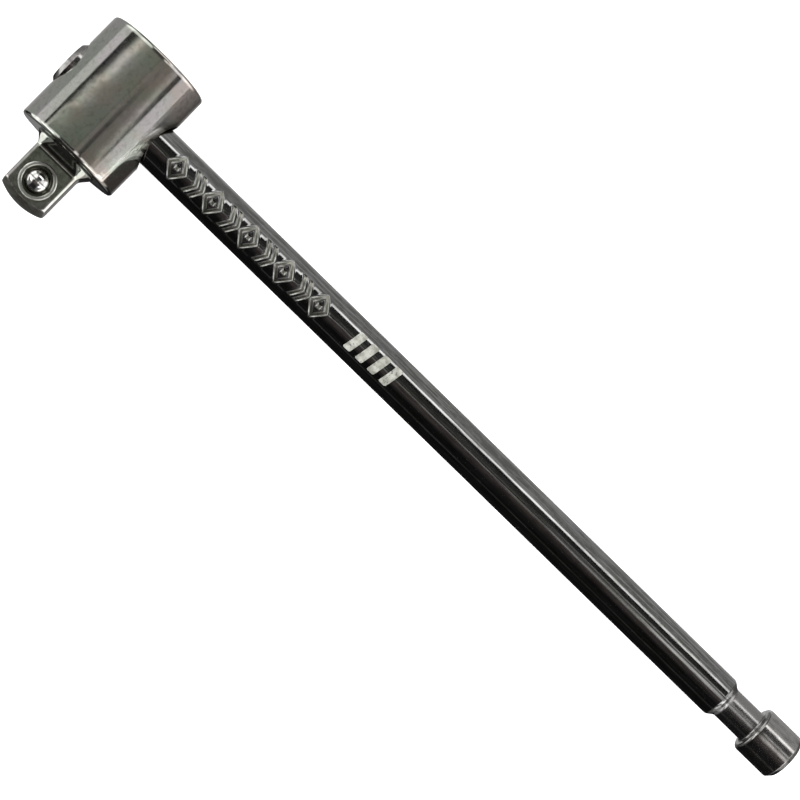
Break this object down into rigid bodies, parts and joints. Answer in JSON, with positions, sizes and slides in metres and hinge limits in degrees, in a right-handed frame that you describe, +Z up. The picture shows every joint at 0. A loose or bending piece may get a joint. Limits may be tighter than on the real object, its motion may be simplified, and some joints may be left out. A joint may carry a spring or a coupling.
{
  "type": "sliding t-handle",
  "caption": "Round head with a male square drive and spring ball, sliding along a collared steel bar to turn sockets as a T or L handle.",
  "frame": {"origin": "centre of the drive square's end, on the drive's axis", "axes": "+X along the bar towards its far end, -Y out of the drive square, +Z up out of the flat that carries the socket ball; the tool lies on its side"},
  "size_m": [0.1194, 0.0239, 0.0142],
  "materials": {
    "head_chrome": "polished nickel-chrome plate over forged steel, warm grey",
    "bar_chrome": "polished dark chrome plate over ground steel, with faint grinding lines",
    "ball_steel": "bright polished bearing ball",
    "spring_steel": "drawn spring wire",
    "screw_steel": "black oxide"
  },
  "bodies": {
    "head": {"head": "head_chrome", "socket_ball_spring": "spring_steel", "detent_spring": "spring_steel", "detent_set_screw": "screw_steel"},
    "slide_bar": {"slide_bar": "bar_chrome"},
    "socket_ball": {"socket_ball": "ball_steel"},
    "detent_ball": {"detent_ball": "ball_steel"}
  },
  "joints": [
    {"name": "bar_slide", "type": "slide", "parent": "head", "child": "slide_bar", "axis": [1, 0, 0], "range_m": [-0.1051, 0.0005]},
    {"name": "socket_ball_press", "type": "slide", "parent": "head", "child": "socket_ball", "axis": [0, 0, -1], "range_m": [0, 0.0007], "stiffness_N_per_m": 3000, "springref_m": -0.0007, "deforming": ["socket_ball_spring"]},
    {"name": "detent_ball_lift", "type": "slide", "parent": "head", "child": "detent_ball", "axis": [0, 1, 0], "range_m": [-0.00064, 0], "stiffness_N_per_m": 3000, "springref_m": -0.0017, "deforming": ["detent_spring"]}
  ]
}
